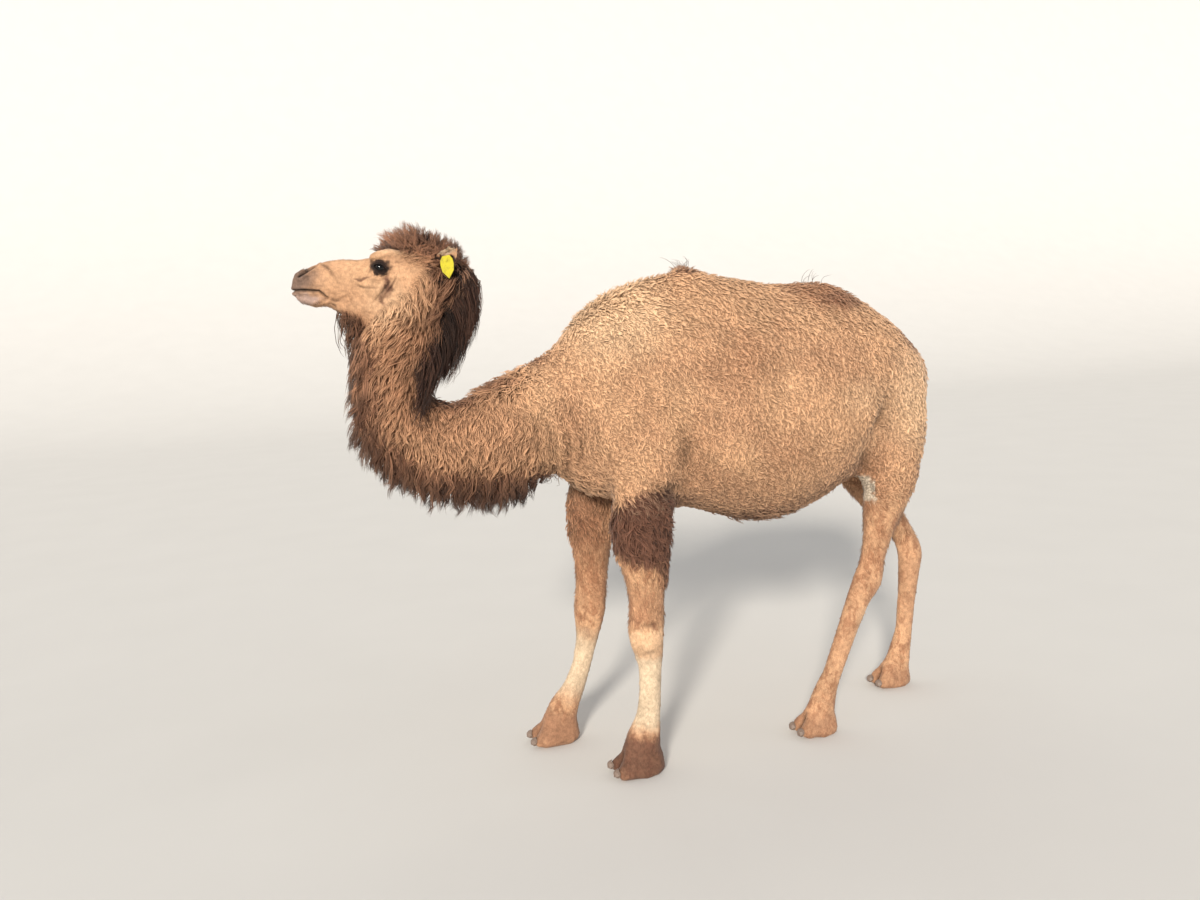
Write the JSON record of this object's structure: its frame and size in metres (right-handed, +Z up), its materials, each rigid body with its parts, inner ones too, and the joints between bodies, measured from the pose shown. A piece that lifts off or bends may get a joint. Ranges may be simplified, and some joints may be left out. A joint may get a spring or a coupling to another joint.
{
  "type": "bactrian camel",
  "caption": "Standing bactrian camel with one long slack hump, woolly coat, dark mane and topknot and an ear tag, as a still life-size model.",
  "frame": {"origin": "middle of the footprint box at floor level, under the belly", "axes": "+Z up; the animal faces -X, so +X runs from muzzle to tail; its left side is -Y and its right side +Y"},
  "size_m": [2.6714, 0.6914, 2.1155],
  "materials": {
    "coat": "short curly reddish-tan wool over soft skin",
    "long_hair": "long dark brown hair in loose locks",
    "eye": "wet and glossy",
    "toenail": "worn horn, slightly satin",
    "ear_tag": "yellow soft plastic, satin"
  },
  "bodies": {
    "root": {"trunk": "coat", "hump_front": "coat", "hump_rear": "coat", "neck_lower": "coat", "neck_upper": "coat", "head": "coat", "lower_jaw": "coat", "ear_left": "coat", "ear_right": "coat", "tail": "coat", "fore_leg_left_upper": "coat", "fore_leg_left_lower": "coat", "fore_leg_right_upper": "coat", "fore_leg_right_lower": "coat", "hind_leg_left_upper": "coat", "hind_leg_left_lower": "coat", "hind_leg_right_upper": "coat", "hind_leg_right_lower": "coat", "fore_foot_left": "coat", "fore_foot_right": "coat", "hind_foot_left": "coat", "hind_foot_right": "coat", "topknot": "long_hair", "nape_mane": "long_hair", "throat_mane": "long_hair", "tail_tuft": "long_hair", "eye_left": "eye", "eye_right": "eye", "toenail_fore_left_outer": "toenail", "toenail_fore_left_inner": "toenail", "toenail_fore_right_outer": "toenail", "toenail_fore_right_inner": "toenail", "toenail_hind_left_outer": "toenail", "toenail_hind_left_inner": "toenail", "toenail_hind_right_outer": "toenail", "toenail_hind_right_inner": "toenail", "ear_tag_left": "ear_tag"}
  },
  "joints": []
}
